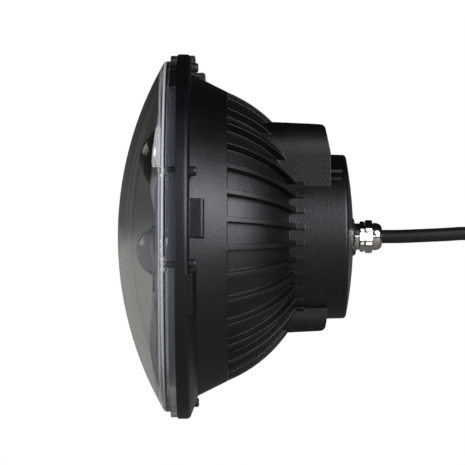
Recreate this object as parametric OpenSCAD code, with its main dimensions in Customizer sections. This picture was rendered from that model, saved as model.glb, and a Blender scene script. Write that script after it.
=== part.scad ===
// Round LED headlight for a motorcycle, seven-inch size, with a finned cast housing and a short lead.
// Millimetres. The optical axis is X, the lens faces -X, the lead leaves at +X and Z is up.
// The origin is on the axis, inside the rim that the lamp is held by.
// Angles round the axis are measured from the near side (-Y) upwards.

/* [Rim] */
// Outside diameter of the rim
rim_d = 178; // [160:1:200]
// Distance from the origin forward to the rim's front face
rim_front = 2.4; // [1.5:0.1:4]
// Distance from the origin back to the end of the rim's outer cylinder
rim_back = 1.8; // [1:0.1:4]
// Distance from the origin back to the rear plane of the cut-back stretch
rim_thin = 4.2; // [3:0.1:5.5]
// Distance from the origin back to the rear plane of the clamp pads
pad_back = 6.0; // [5:0.1:7]
// Angle that one clamp pad covers
pad_angle = 13; // [8:1:20]
// How far the rim stands out past the start of the bowl
rim_overhang = 10.6; // [9:0.1:14]
// Radius of the soft rear edge of the rim
rim_round = 2.4; // [1:0.1:3]

/* [Locating lugs] */
// Width of a locating lug round the rim
lug_w = 18; // [10:0.5:26]
// How far a lug stands in from the rim's outside
lug_inset = 8.8; // [7:0.1:10]
// Distance from the origin back to the end of a lug
lug_back = 11; // [8:0.5:14]
// Angle of the first lug
lug_at = 6.4; // [0:0.1:20]
// Angle from a lug to the screw on either side of it
lug_to_screw = 15; // [12:0.5:20]

/* [Bowl and fins] */
// Distance from the origin back to the start of the fins
fin_start = 21.7; // [18:0.1:26]
// How much the smooth cone narrows for each millimetre of depth
cone_slope = 0.5; // [0.4:0.01:0.6]
// Radius of the fins' outer curve
fin_curve_r = 66; // [60:1:76]
// Depth of a channel at the start of the fins
fin_depth = 4.6; // [3:0.1:6]
// Radius of the channels' floor curve
floor_curve_r = 59; // [55:1:66]
// Length of the fins' outer curve along the axis
fin_run = 32.9; // [28:0.1:36]
// Number of fins round the bowl
fin_count = 33; // [24:1:40]
// Thickness of one fin
fin_t = 2.4; // [1.6:0.1:3.2]
// Angle of the fin nearest to the near side
fin_at = 6.7; // [0:0.1:10]
// Wall of the casting
wall = 3.2; // [2.5:0.1:3.6]

/* [Rear drum] */
// Radius of the rear drum at its back edge
drum_r = 40; // [36:0.5:44]
// Draft of the rear drum in degrees
drum_draft = 1; // [0.5:0.1:1.5]
// Distance from the origin back to the middle of the rear face
drum_end = 83.1; // [80:0.1:90]
// Radius of the domed rear face
drum_dome_r = 208; // [180:1:260]
// Radius of the rear face's edge
drum_edge_r = 1.7; // [1:0.1:2.5]
// Thickness of the rear wall in the middle
rear_wall = 6.7; // [5.5:0.1:8]
// Length of the small fin ends on the drum
fin_tail = 7.3; // [4:0.1:9]
// How far the fin ends stand out of the drum
fin_tail_h = 1.0; // [0.6:0.1:1.6]

/* [Lobes on the drum] */
// Width of the upper lobe
top_lobe_w = 64; // [50:1:70]
// Height of the upper lobe above the axis
top_lobe_h = 55.4; // [50:0.2:58]
// Radius of the upper lobe's long edges
top_lobe_r = 16; // [8:1:20]
// Distance from the origin back to the upper lobe's foot
top_lobe_back = 71.2; // [68:0.1:74]
// Width of the lower lobe
low_lobe_w = 42; // [34:1:50]
// Depth of the lower lobe below the axis
low_lobe_h = 46.8; // [44:0.2:50]
// Radius of the lower lobe's long edges
low_lobe_r = 8; // [4:1:12]
// Distance from the origin back to the lower lobe's end
low_lobe_back = 69.6; // [66:0.1:72]
// Draft of both lobes in degrees
lobe_draft = 2.7; // [1:0.1:3.5]

/* [Front lens] */
// Radius of the lens dome
dome_r = 163; // [150:1:200]
// How far the lens skirt stands in from the rim's outside
skirt_inset = 3.4; // [2:0.1:5]
// How far the lens ring stands in from the rim's outside
lens_ring_inset = 0.7; // [0.4:0.1:1.5]
// Thickness of the lens ring
lens_ring_t = 2.7; // [2:0.1:3.5]
// Width of the parting groove between skirt and ring
lens_groove = 0.5; // [0.3:0.1:0.8]
// Straight height of the lens skirt
skirt_h = 1.3; // [1:0.1:3]
// Radius of the edge between dome and skirt
dome_edge_r = 2; // [1:0.1:3]
// Wall of the lens
lens_wall = 2.8; // [2:0.1:3.2]
// Distance from the rim's outside in to the middle of the seal groove
seal_inset = 10.8; // [10:0.1:11.2]
// Width of the lens tongue that presses the seal
tongue_w = 2.6; // [1.6:0.1:3]
// Height of the lens tongue
tongue_h = 2.6; // [1.5:0.1:3.5]
// Thickness of the pressed seal
seal_t = 1.4; // [0.8:0.1:2]

/* [Bezel and optics] */
// Distance from the origin forward to the bezel's front face
bezel_front = 12.5; // [11:0.1:13]
// Width of the bezel's sloping edge
bezel_slope_w = 7.4; // [5:0.1:12]
// Wall of the bezel
bezel_t = 1.8; // [1.2:0.1:2.4]
// Radius of a low-beam lens
low_lens_r = 14; // [12:0.5:14.5]
// Gap from a low-beam lens out to the bezel's sloping edge
low_lens_gap = 9.8; // [6:0.1:12]
// Angle of a low-beam lens from the top of the lamp
low_lens_angle = 29.85; // [28:0.05:34]
// How far a low-beam lens bulges
low_lens_bulge = 5.7; // [4:0.1:7]
// Radius of a high-beam lens
high_lens_r = 12; // [10:0.5:13]
// Gap from a high-beam lens out to the bezel's sloping edge
high_lens_gap = 12.4; // [8:0.1:16]
// Angle of a high-beam lens from the top of the lamp
high_lens_angle = 99.4; // [92:0.1:106]
// How far a high-beam lens bulges
high_lens_bulge = 6.4; // [4:0.1:7]
// Gap from a bright trim ring to the middle of the lamp
trim_gap = 0.4; // [0.2:0.1:1.5]
// Width of a trim ring above its lens
trim_top_w = 0.6; // [0.4:0.1:2]
// How far a trim ring bulges
trim_bulge = 3.6; // [2:0.1:5]
// Radius of the day-light reflector
cup_r = 9; // [7:0.5:11]
// Height of the day-light reflector above the axis
cup_z = -26; // [-30:0.5:-24]
// How far the reflector's lip bulges
cup_bulge = 4.6; // [3:0.1:5]

/* [Light boards and driver] */
// Thickness of the heat spreader
spreader_t = 3; // [2:0.5:4]
// Gap from the light board to the screw heads round it
board_gap = 0.8; // [0.4:0.1:3]
// Thickness of both circuit boards
board_t = 1.6; // [1:0.1:2]
// Side of one light chip
chip_w = 4; // [3:0.5:5]
// Gap round the driver's carrier plate in the rear drum
carrier_fit = 1.3; // [0.5:0.1:4]
// Thickness of the carrier plate
carrier_t = 2.5; // [1.5:0.1:3]
// Gap from the carrier plate to the rear wall
carrier_gap = 8; // [6:0.5:10]
// Height of the posts that carry the driver board
post_h = 4.4; // [3:0.1:6]

/* [Cable gland and lead] */
// Diameter of the gland's thread
gland_thread_d = 12; // [10:0.5:13]
// Width across the flats of the gland body
gland_af = 13; // [12:0.5:14]
// Width across the flats of the gland nut
gland_nut_af = 14; // [12.5:0.5:15]
// Distance from the axis to the screws beside the gland
rear_screw_at = 10; // [9.8:0.1:12]
// Diameter of the lead
lead_d = 6.6; // [5.5:0.1:7]
// Width of the plug
plug_w = 30; // [26:1:36]
// Thickness of the plug
plug_t = 17; // [14:1:22]
// Height of the plug's block
plug_h = 22; // [18:1:28]
// Width of a plug blade
blade_w = 8; // [6:0.5:9]
// Thickness of a plug blade
blade_t = 0.8; // [0.6:0.1:1.2]
// Free length of a plug blade
blade_h = 10; // [7:0.5:12]

/* [Hidden] */

$fn = 96;
turn_fn = 180;
hex_fn = 6;
join = 0.6;      // how far shapes of one casting run into each other
slide = 0.2;     // gap round a piece that slips into another
thread_gap = 0.1; // gap round a screw in its hole

// Angles of the lugs, the rim screws and the clamp pads
lug_angles = [lug_at, lug_at + 90, lug_at + 240];
screw_angles = [for (a = lug_angles) each [a - lug_to_screw, a + lug_to_screw]];
pad_angles = [-17.5, 99.5, 221.5];
thin_from = pad_angles[0] + pad_angle / 2;
thin_to = pad_angles[1] - pad_angle / 2;

// Rim, cone and bowl
rim_r = rim_d / 2;
rim_edge = 0.4;
pad_edge = 0.6;
cone_r = rim_r - rim_overhang;
cone_from = pad_back + 0.2;
root_h = 3.1;          // height of the slope between rim and cone
root_w = 1.2;          // and its width
fin_start_r = cone_r - cone_slope * (fin_start - cone_from);
fin_end = fin_start + fin_run;
floor_end = fin_end - 3.3;
drum_from = fin_end - 12.9;
draft_from = fin_end - 2.9;
drum_base_r = drum_r + tan(drum_draft) * (drum_end - draft_from);
fin_centre = arc_centre([fin_start_r, fin_start], [drum_base_r + 1, fin_end], fin_curve_r);
floor_centre = arc_centre([fin_start_r - fin_depth, fin_start], [drum_base_r, floor_end], floor_curve_r);

// Stack inside the rim, measured along X
seat_x = -rim_front;
groove_back = seat_x + tongue_h + seal_t;
seal_r = rim_r - seal_inset;
seal_groove_w = tongue_w + 2 * slide;
bezel_r = seal_r - 3.2;
bezel_seat_x = seat_x + bezel_t;
bezel_wall_r = bezel_r - 1.6;
bezel_flat_r = bezel_wall_r - bezel_slope_w;
bezel_shoulder_x = -bezel_front + 3.9;
bowl_mouth_r = bezel_r - 3;
spreader_r = rim_r - 22.5;
spreader_back = fin_start - 2.7;
spreader_front = spreader_back - spreader_t;
board_front = spreader_front - board_t;

// Rear drum
dome_centre_x = drum_end - drum_dome_r;
drum_edge_at = [
    drum_r - drum_edge_r,
    dome_centre_x + sqrt(pow(drum_dome_r - drum_edge_r, 2) - pow(drum_r - drum_edge_r, 2))
];
pocket_r = drum_r - wall - 0.3;
pocket_end = drum_end - rear_wall;

// Lugs, lobes and the two short ribs on the drum
lug_round = 1.4;
lug_root = 6;
lobe_flat_to = drum_from + 2;
lobe_corner_r = 3;
top_lobe_from = fin_start + 6;
top_lobe_lean = 2.2;
low_lobe_from = fin_start + 14;
low_lobe_lean = 0.4;
rib_rise = 0.9;
drum_rib_list = [[52.5, 1.5, 5.6], [44, 0.6, 5]]; // angle, radius, length past the lobe's foot

// Front lens
skirt_r = rim_r - skirt_inset;
lens_ring_r = rim_r - lens_ring_inset;
lens_ring_in = bezel_r - 1.1;
ring_front = seat_x - lens_ring_t;
skirt_front = ring_front - skirt_h;
lens_centre_x = skirt_front + sqrt(pow(dome_r - dome_edge_r, 2) - pow(skirt_r - dome_edge_r, 2));
dome_meet_r = (skirt_r - dome_edge_r) * dome_r / (dome_r - dome_edge_r);

// Rim screws
screw_ring_r = rim_r - 6.2;
rim_screw_d = 3;
rim_head_d = 4.6;
rim_head_h = 3.5;
rim_socket_af = 2;
rim_socket_h = 1.6;
screw_boss_r = 2.7;
screw_boss_h = 1.6;
screw_tip = ring_front - 1.1;
spot_face_r = 3.1;

// Spreader and board screws
spreader_screw_ring = spreader_r - 5;
spreader_boss_r = 3.4;
spreader_boss_h = 5;
small_screw_d = 3;
small_head_d = 5.4;
small_head_h = 1.6;
small_screw_l = 4.6;
small_socket_af = 2.5;
small_socket_h = 1;
board_r = spreader_screw_ring - small_head_d / 2 - board_gap;
board_screw_spots = [[30, 22], [150, 22], [270, 13]]; // angle and distance from the axis
lead_hole_r = 5;
inner_lead_r = 1.2;
inner_lead_y = 2.5;
chip_t = 1;

// Lamp units
low_lens_ring = bezel_flat_r - low_lens_gap - low_lens_r;
low_lens_y = low_lens_ring * sin(low_lens_angle);
low_lens_z = low_lens_ring * cos(low_lens_angle);
low_axes = [-low_lens_y, low_lens_y];
high_lens_ring = bezel_flat_r - high_lens_gap - high_lens_r;
high_lens_y = high_lens_ring * sin(high_lens_angle);
high_lens_z = high_lens_ring * cos(high_lens_angle);
high_axes = [-high_lens_y, high_lens_y];
holder_wall = 1.6;
lens_ledge = 1.6;
low_lens_base = -bezel_front + 1.5;
low_lens_edge = -bezel_front - 2.3;
high_lens_base = -bezel_front + bezel_t + 1.5;
high_lens_edge = -bezel_front - 1.8;
trim_bore_r = low_lens_r + 2 * slide;
trim_r = low_lens_y - trim_gap;
trim_z = low_lens_z - (trim_r - trim_bore_r - trim_top_w);
cup_lip = 2.2;
cup_throat_r = chip_w * 0.9;
cup_depth = 20;

// Driver
carrier_back = pocket_end - carrier_gap;
carrier_front = carrier_back - carrier_t;
driver_back = carrier_front - post_h;
driver_front = driver_back - board_t;
carrier_r = pocket_r - carrier_fit;
driver_board_r = carrier_r - 2;
post_ring = driver_board_r - 4;
post_r = 2.8;
pillar_r = 2.8;
carrier_hole_r = 5.6;
coil_at = [14, 4];      // place of the coil on the driver board
coil_r = 7;
coil_waist_r = 5.4;
coil_flange = 2;
coil_h = 11;
capacitor_y = -15;
capacitor_z = [-13, 8];
capacitor_r = 5;
capacitor_h = 12;
terminal_at = [-2, -20];
terminal_w = 14;
terminal_t = 8;
terminal_h = 9;
rear_screw_angles = [-37, 143];
rear_screw_d = 3;
rear_head_d = 6.5;
rear_head_h = 1.6;
rear_cap_r = 5;
rear_screw_seat = drum_end - 0.4;

// Gland, front to back along X
gland_seat = drum_end - 0.3;
gland_spot_r = 6.7;
gland_washer_t = 1;
gland_collar_r = 6.5;
gland_collar_end = gland_seat + 3.5;
gland_hex_end = gland_collar_end + 2.3;
nut_start = gland_hex_end + slide;
nut_hex_end = nut_start + 3.7;
nut_end = nut_hex_end + 4.7;
gland_bore_r = 4.3;
nut_thread_r = 5.4;
nut_roof = 1.2;         // height from the nut's hexagon to the start of its dome
nut_out = gland_nut_af / 2 - 0.3;
nut_dome_r = 2.6;
lead_fit = 0.05;

// Lead, plug and blades
lead_r = lead_d / 2;
lead_sides = 10;
lead_route = [
    [80, 0, 0], [88, 0, 0], [98, 0, 0], [107, 0, 0.1], [117, 0, 0.5], [128, 0, 1],
    [139, 0, 1.5], [150, 0, 0.4], [160, 0, -3], [169, 0, -9], [176, 0, -17.5], [180.5, 0, -28],
    [182, 0, -40], [182, 0, -54], [182, 0, -70], [182, 0, -86], [182, 0, -102], [182, 0, -118],
    [182, 0, -132]
];
lead_end = lead_route[len(lead_route) - 1];
plug_neck_h = 9;
plug_neck_r = lead_r + 1.2;
plug_neck_base_r = lead_r + 2.6;
plug_corner_r = 3;
plug_groove_z = [5:3:14];
plug_groove_h = 1.2;
plug_groove_d = 0.5;
blade_pitch = plug_w - 9;

// Centre of the arc of radius r that bulges outwards from point p back to point q, both [radius, x]
function arc_centre(p, q, r) =
    let (mid = (p + q) / 2, d = q - p, half = norm(d) / 2, side = [-d[1], d[0]] / norm(d))
    mid + side * sqrt(r * r - half * half);

// Height of a spherical cap's centre behind its tip
function cap_r(base_r, bulge) = (base_r * base_r + bulge * bulge) / (2 * bulge);

// Turn a [radius, x] section round the optical axis
module turned() {
    rotate([0, 90, 0]) rotate_extrude($fn = turn_fn) children();
}

// Turn a [radius, x] section from one angle to another
module turned_between(from, to) {
    rotate([0, 90, 0])
        rotate([0, 0, 270 - to]) rotate_extrude(angle = to - from, $fn = turn_fn) children();
}

// Bring something modelled at the top of the lamp to an angle round the axis
module at_angle(a) {
    rotate([90 - a, 0, 0]) children();
}

// Round bar along X between two stations
module bar(r, from, to) {
    translate([from, 0, 0]) rotate([0, 90, 0]) cylinder(h = to - from, r = r);
}

// Hexagonal bar along X between two stations
module hex_bar(af, from, to) {
    translate([from, 0, 0]) rotate([0, 90, 0]) cylinder(h = to - from, r = af / 2 / cos(30), $fn = hex_fn);
}

// Rectangle in a [radius, x] section
module band(r_in, r_out, from, to) {
    translate([r_in, from]) square([r_out - r_in, to - from]);
}

// Half section of the rim and the smooth cone, solid to the axis
module rim_section() {
    knee = [rim_r - rim_round, rim_back];
    polygon([
        [0, seat_x],
        [rim_r - rim_edge, seat_x],
        [rim_r, seat_x + rim_edge],
        for (a = [0:15:60]) knee + rim_round * [cos(a), sin(a)],
        [cone_r + root_h, cone_from + 0.1],
        [cone_r - cone_slope * root_w, cone_from + root_w],
        [fin_start_r, fin_start],
        [0, fin_start]
    ]);
}

// Half section of the bowl under the fins, grown or shrunk by the given amount
module bowl_section(grow) {
    intersection() {
        translate(floor_centre) circle(r = floor_curve_r + grow, $fn = turn_fn);
        band(0, rim_r, spreader_back, drum_end);
    }
}

// Half section of the rear drum with its domed end
module drum_section() {
    polygon([
        [0, drum_from],
        [drum_base_r, drum_from],
        [drum_base_r, draft_from],
        [drum_r, drum_edge_at[1]],
        [0, drum_edge_at[1]]
    ]);
    translate(drum_edge_at) circle(r = drum_edge_r, $fn = 48);
    intersection() {
        translate([0, dome_centre_x]) circle(r = drum_dome_r, $fn = 720);
        band(0, drum_edge_at[0] * drum_dome_r / (drum_dome_r - drum_edge_r), drum_from, drum_end);
    }
}

// Half section of everything that is hollow inside the casting
module hollow_section() {
    band(0, bezel_r + slide, seat_x - join, bezel_seat_x);
    polygon([
        [0, bezel_seat_x - join],
        [bowl_mouth_r, bezel_seat_x - join],
        [bowl_mouth_r, bezel_seat_x],
        [spreader_r + 0.5, spreader_front],
        [spreader_r + 0.5, spreader_back],
        [0, spreader_back]
    ]);
    bowl_section(-wall);
    band(0, pocket_r, drum_from, pocket_end);
}

// Side view of one fin with its short end on the drum, as [radius, x]
module fin_section() {
    difference() {
        intersection() {
            translate(fin_centre) circle(r = fin_curve_r, $fn = 360);
            band(drum_r - wall / 2, rim_r, fin_start - join, fin_end + 2);
        }
        translate(floor_centre) circle(r = floor_curve_r - wall / 2, $fn = 360);
    }
    band(drum_r - wall / 2, drum_base_r + fin_tail_h, floor_end - 2, floor_end + fin_tail);
}

module fins() {
    for (i = [0:fin_count - 1])
        at_angle(fin_at + i * 360 / fin_count)
            translate([0, fin_t / 2, 0]) rotate([90, 0, 0]) linear_extrude(fin_t)
                mirror([1, 0]) rotate([0, 0, 90]) fin_section();
}

// End view of a lobe, rounded along its two outer edges
module lobe_outline(w, h, r) {
    translate([-w / 2, 0]) square([w, h - r]);
    translate([-w / 2 + r, 0]) square([w - 2 * r, h]);
    for (s = [-1, 1])
        translate([s * (w / 2 - r), h - r]) circle(r = r);
}

// Lobe standing up from the axis, its outer face falling away to the back by the draft
module lobe(w, h, r, from, foot, lean) {
    top_back = h - tan(lobe_draft) * (foot - lean - lobe_flat_to);
    intersection() {
        translate([from, 0, 0]) rotate([90, 0, 90]) linear_extrude(foot - from) lobe_outline(w, h, r);
        translate([0, w / 2 + join, 0]) rotate([90, 0, 0]) linear_extrude(w + 2 * join) polygon([
            [from, 0],
            [foot, 0],
            [foot, drum_r],
            for (a = [0:18:90])
                [foot - lean, top_back] + lobe_corner_r * [cos(a) - 1, sin(a) - 1],
            [lobe_flat_to, h],
            [from, h]
        ]);
    }
}

module upper_lobe(shrink, from) {
    lobe(top_lobe_w - 2 * shrink, top_lobe_h - shrink, max(top_lobe_r - shrink, 1),
        from, top_lobe_back - shrink, top_lobe_lean);
}

module lower_lobe(shrink, from) {
    rotate([180, 0, 0])
        lobe(low_lobe_w - 2 * shrink, low_lobe_h - shrink, max(low_lobe_r - shrink, 1),
            from, low_lobe_back - shrink, low_lobe_lean);
}

// Two short cast ribs on the drum behind the upper lobe
module drum_ribs() {
    for (rib = drum_rib_list)
        at_angle(rib[0])
            translate([0, 0, drum_r - rib[1] + rib_rise])
                bar(rib[1], top_lobe_back - 4, top_lobe_back + rib[2]);
}

// Locating lugs that key the lamp in its ring
module lugs() {
    for (a = lug_angles)
        intersection() {
            at_angle(a)
                translate([seat_x + join, -lug_w / 2, cone_r - lug_root])
                    cube([lug_back - seat_x - join, lug_w, rim_overhang + lug_root]);
            turned() polygon([
                [cone_r - lug_root - 2, seat_x + join],
                [rim_r - lug_inset, seat_x + join],
                for (a = [0:22.5:90])
                    [rim_r - lug_inset, lug_back] + lug_round * [cos(a) - 1, sin(a) - 1],
                [cone_r - lug_root - 2, lug_back]
            ]);
        }
}

// Clamp pads on the back of the rim
module pads() {
    for (a = pad_angles)
        turned_between(a - pad_angle / 2, a + pad_angle / 2)
            polygon([
                [cone_r - 2, 0],
                [rim_r, 0],
                [rim_r, pad_back - pad_edge],
                [rim_r - pad_edge, pad_back],
                [cone_r - 2, pad_back]
            ]);
}

module rim_screw_places() {
    for (a = screw_angles)
        at_angle(a) translate([0, 0, screw_ring_r]) children();
}

module rear_screw_places() {
    for (a = rear_screw_angles)
        at_angle(a) translate([0, 0, rear_screw_at]) children();
}

module spreader_screw_places() {
    for (a = [0, 90, 180, 270])
        at_angle(a) translate([0, 0, spreader_screw_ring]) children();
}

module board_screw_places() {
    for (spot = board_screw_spots)
        at_angle(spot[0]) translate([0, 0, spot[1]]) children();
}

module post_places() {
    for (a = [45, 135, 225, 315])
        at_angle(a) translate([0, 0, post_ring]) children();
}

// Casting: rim, cone, finned bowl, drum and lobes in one piece, hollow from the front
module casting_shell() {
    difference() {
        union() {
            difference() {
                turned() rim_section();
                turned_between(thin_from, thin_to) polygon([
                    [cone_r + cone_slope * (cone_from - rim_thin), rim_thin],
                    [rim_r + 1, rim_thin],
                    [rim_r + 1, cone_from + 2],
                    [cone_r - cone_slope * 2, cone_from + 2]
                ]);
            }
            turned() bowl_section(0);
            turned() drum_section();
            fins();
            upper_lobe(0, top_lobe_from);
            lower_lobe(0, low_lobe_from);
            drum_ribs();
            lugs();
            pads();
        }
        turned() hollow_section();
        upper_lobe(wall, spreader_back);
        lower_lobe(wall, spreader_back);
        turned() band(seal_r - seal_groove_w / 2, seal_r + seal_groove_w / 2, seat_x - join, groove_back);
        rim_screw_places() bar(rim_screw_d / 2 + thread_gap, seat_x - join, rim_thin + join);
        rim_screw_places() bar(spot_face_r, rim_thin, cone_from + 6);
        bar(gland_thread_d / 2 + thread_gap, pocket_end - join, drum_end + join);
        bar(gland_spot_r, gland_seat, drum_end + join);
        rear_screw_places() bar(rear_screw_d / 2 + thread_gap, pocket_end - join, drum_end + join);
        rear_screw_places() bar(rear_head_d / 2 + slide, rear_screw_seat, drum_end + join);
    }
}

// The finished casting with the tapped bosses for the heat spreader
module housing() {
    color([0.09, 0.09, 0.1]) difference() {
        union() {
            casting_shell();
            spreader_screw_places() bar(spreader_boss_r, spreader_back, spreader_back + spreader_boss_h);
        }
        spreader_screw_places()
            bar(small_screw_d / 2 + thread_gap, spreader_back - join, spreader_back + spreader_boss_h + join);
    }
}

// Clear moulded lens: dome, skirt, seating ring, sealing tongue and blind screw bosses
module front_lens() {
    color([0.8, 0.85, 0.88, 0.45]) difference() {
        union() {
            turned() difference() {
                union() {
                    intersection() {
                        translate([0, lens_centre_x]) circle(r = dome_r, $fn = 720);
                        band(0, dome_meet_r, -dome_r, skirt_front);
                    }
                    translate([skirt_r - dome_edge_r, skirt_front]) circle(r = dome_edge_r, $fn = 48);
                    band(0, skirt_r, skirt_front, ring_front - lens_groove);
                    band(0, skirt_r - lens_groove, ring_front - lens_groove, ring_front);
                }
                intersection() {
                    translate([0, lens_centre_x]) circle(r = dome_r - lens_wall, $fn = 720);
                    band(0, skirt_r - lens_wall, -dome_r, ring_front + join);
                }
            }
            turned() band(lens_ring_in, lens_ring_r, ring_front, seat_x);
            turned() band(seal_r - tongue_w / 2, seal_r + tongue_w / 2, seat_x - join, seat_x + tongue_h);
            rim_screw_places() bar(screw_boss_r, ring_front - screw_boss_h, ring_front + join);
        }
        rim_screw_places() bar(rim_screw_d / 2 + thread_gap, screw_tip - 0.2, seat_x + join);
    }
}

// Silicone ring at the bottom of the seal groove, pressed by the lens tongue
module lens_seal() {
    color([0.16, 0.16, 0.17])
        turned() band(seal_r - tongue_w / 2, seal_r + tongue_w / 2, seat_x + tongue_h, groove_back);
}

// Six pan-head screws, put in from behind the rim into the lens
module rim_screws() {
    color([0.12, 0.12, 0.13])
        rim_screw_places() {
            difference() {
                bar(rim_head_d / 2, rim_thin, rim_thin + rim_head_h);
                hex_bar(rim_socket_af, rim_thin + rim_head_h - rim_socket_h, rim_thin + rim_head_h + join);
            }
            bar(rim_screw_d / 2, screw_tip, rim_thin + join);
        }
}

// Moulded bezel behind the lens, clamped between the lens ring and the casting
module inner_bezel() {
    color([0.22, 0.22, 0.26]) difference() {
        turned() polygon([
            [0, -bezel_front],
            [bezel_flat_r, -bezel_front],
            [bezel_wall_r, bezel_shoulder_x],
            [bezel_wall_r, seat_x],
            [bezel_r, seat_x],
            [bezel_r, bezel_seat_x],
            [bezel_wall_r - bezel_t, bezel_seat_x],
            [bezel_wall_r - bezel_t, bezel_shoulder_x + bezel_t * 0.6],
            [bezel_flat_r - bezel_t * 0.3, -bezel_front + bezel_t],
            [0, -bezel_front + bezel_t]
        ]);
        for (y = low_axes)
            translate([0, y, low_lens_z])
                bar(low_lens_r + holder_wall + 2 * slide, -bezel_front - join, -bezel_front + bezel_t + join);
        for (y = high_axes)
            translate([0, y, high_lens_z])
                bar(high_lens_r + 2 * slide, -bezel_front - join, -bezel_front + bezel_t + join);
        translate([0, 0, cup_z]) bar(cup_r + 2 * slide, -bezel_front - join, -bezel_front + bezel_t + join);
    }
}

// Glass lens with a domed front and a flat back, on its own axis
module bulged_lens(r, bulge, edge, base) {
    cap = cap_r(r, bulge);
    rotate([0, 90, 0]) rotate_extrude() {
        intersection() {
            translate([0, edge - bulge + cap]) circle(r = cap, $fn = 144);
            band(0, r, edge - bulge, edge);
        }
        band(0, r, edge, base);
    }
}

// Black tube that carries a lens on the light board, on its own axis
module lens_holder(r, front, ledge_x) {
    color([0.07, 0.07, 0.08]) rotate([0, 90, 0]) rotate_extrude() polygon([
        [r - lens_ledge, ledge_x],
        [r + slide, ledge_x],
        [r + slide, front],
        [r + holder_wall, front],
        [r + holder_wall, board_front],
        [r - lens_ledge, board_front]
    ]);
}

module low_beam_lens(side) {
    color([0.85, 0.88, 0.9, 0.5])
        translate([0, low_axes[side], low_lens_z])
            bulged_lens(low_lens_r, low_lens_bulge, low_lens_edge, low_lens_base);
}

module low_beam_holder(side) {
    translate([0, low_axes[side], low_lens_z]) lens_holder(low_lens_r, -bezel_front, low_lens_base);
}

module high_beam_lens(side) {
    color([0.85, 0.88, 0.9, 0.5])
        translate([0, high_axes[side], high_lens_z])
            bulged_lens(high_lens_r, high_lens_bulge, high_lens_edge, high_lens_base);
}

module high_beam_holder(side) {
    translate([0, high_axes[side], high_lens_z])
        lens_holder(high_lens_r, -bezel_front + bezel_t, high_lens_base);
}

// Bright domed ring round a low-beam lens, flat on the bezel
module trim_ring(side) {
    cap = cap_r(trim_r, trim_bulge);
    color([0.85, 0.86, 0.88]) difference() {
        translate([0, low_axes[side], trim_z]) rotate([0, 90, 0]) rotate_extrude()
            intersection() {
                translate([0, -bezel_front - trim_bulge + cap]) circle(r = cap, $fn = 360);
                band(0, trim_r, -bezel_front - trim_bulge, -bezel_front);
            }
        translate([0, low_axes[side], low_lens_z])
            bar(trim_bore_r, -bezel_front - trim_bulge - join, -bezel_front + join);
    }
}

// Plated cup with a domed lip, standing on the light board
module day_light_reflector() {
    cap = cap_r(cup_r, cup_bulge);
    color([0.85, 0.86, 0.88]) translate([0, 0, cup_z]) rotate([0, 90, 0]) rotate_extrude()
        difference() {
            union() {
                intersection() {
                    translate([0, -bezel_front - cup_bulge + cap]) circle(r = cap, $fn = 144);
                    band(0, cup_r, -bezel_front - cup_bulge, -bezel_front);
                }
                band(0, cup_r, -bezel_front, board_front);
            }
            polygon([
                [0, -bezel_front - cup_bulge - join],
                [cup_r - cup_lip, -bezel_front - cup_bulge - join],
                for (t = [0:0.2:1]) [
                    cup_throat_r + (cup_r - cup_lip - cup_throat_r) * sqrt(1 - t * t),
                    -bezel_front + cup_depth * t
                ],
                [cup_throat_r, board_front + join],
                [0, board_front + join]
            ]);
        }
}

// One emitter under each lamp unit
module light_chips() {
    color([0.95, 0.85, 0.35])
        for (p = concat(
            [for (y = low_axes) [y, low_lens_z]],
            [for (y = high_axes) [y, high_lens_z]],
            [[0, cup_z]]
        ))
            translate([board_front - chip_t, p[0] - chip_w / 2, p[1] - chip_w / 2])
                cube([chip_t, chip_w, chip_w]);
}

module light_board() {
    color([0.9, 0.9, 0.88]) difference() {
        bar(board_r, board_front, spreader_front);
        board_screw_places() bar(small_screw_d / 2 + slide, board_front - join, spreader_front + join);
    }
}

// Small pan-head screw, its head's seat at x = 0 and its tip towards +X
module small_screw(length) {
    difference() {
        bar(small_head_d / 2, -small_head_h, 0);
        hex_bar(small_socket_af, -small_head_h - join, small_socket_h - small_head_h);
    }
    bar(small_screw_d / 2, -join, length);
}

module board_screws() {
    color([0.7, 0.7, 0.72])
        board_screw_places() translate([board_front, 0, 0]) small_screw(board_t + spreader_t - 0.2);
}

// Aluminium plate that takes the heat of the light board into the casting
module heat_spreader() {
    color([0.68, 0.69, 0.7]) difference() {
        bar(spreader_r, spreader_front, spreader_back);
        spreader_screw_places() bar(small_screw_d / 2 + slide, spreader_front - join, spreader_back + join);
        board_screw_places() bar(small_screw_d / 2 + thread_gap, spreader_front - join, spreader_back + join);
        bar(lead_hole_r, spreader_front - join, spreader_back + join);
    }
}

module spreader_screws() {
    color([0.7, 0.7, 0.72])
        spreader_screw_places() translate([spreader_front, 0, 0]) small_screw(spreader_t + small_screw_l);
}

// Two stiff leads from the driver board to the light board
module board_leads() {
    color([0.6, 0.1, 0.08])
        for (s = [-1, 1])
            translate([0, s * inner_lead_y, 0]) bar(inner_lead_r, spreader_front, driver_front);
}

module driver_board() {
    color([0.05, 0.3, 0.12]) difference() {
        bar(driver_board_r, driver_front, driver_back);
        post_places() bar(small_screw_d / 2 + slide, driver_front - join, driver_back + join);
    }
}

module driver_board_screws() {
    color([0.7, 0.7, 0.72])
        post_places() translate([driver_front, 0, 0]) small_screw(board_t + post_h - 0.2);
}

// Wound coil with a waist, standing on the driver board
module driver_inductor() {
    color([0.55, 0.3, 0.12]) translate([driver_front, coil_at[0], coil_at[1]]) {
        bar(coil_r, -coil_flange, 0);
        bar(coil_waist_r, coil_flange - coil_h, -coil_flange);
        bar(coil_r, -coil_h, coil_flange - coil_h);
    }
}

module driver_capacitors() {
    color([0.15, 0.15, 0.2])
        for (z = capacitor_z)
            translate([0, capacitor_y, z]) bar(capacitor_r, driver_front - capacitor_h, driver_front);
}

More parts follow.
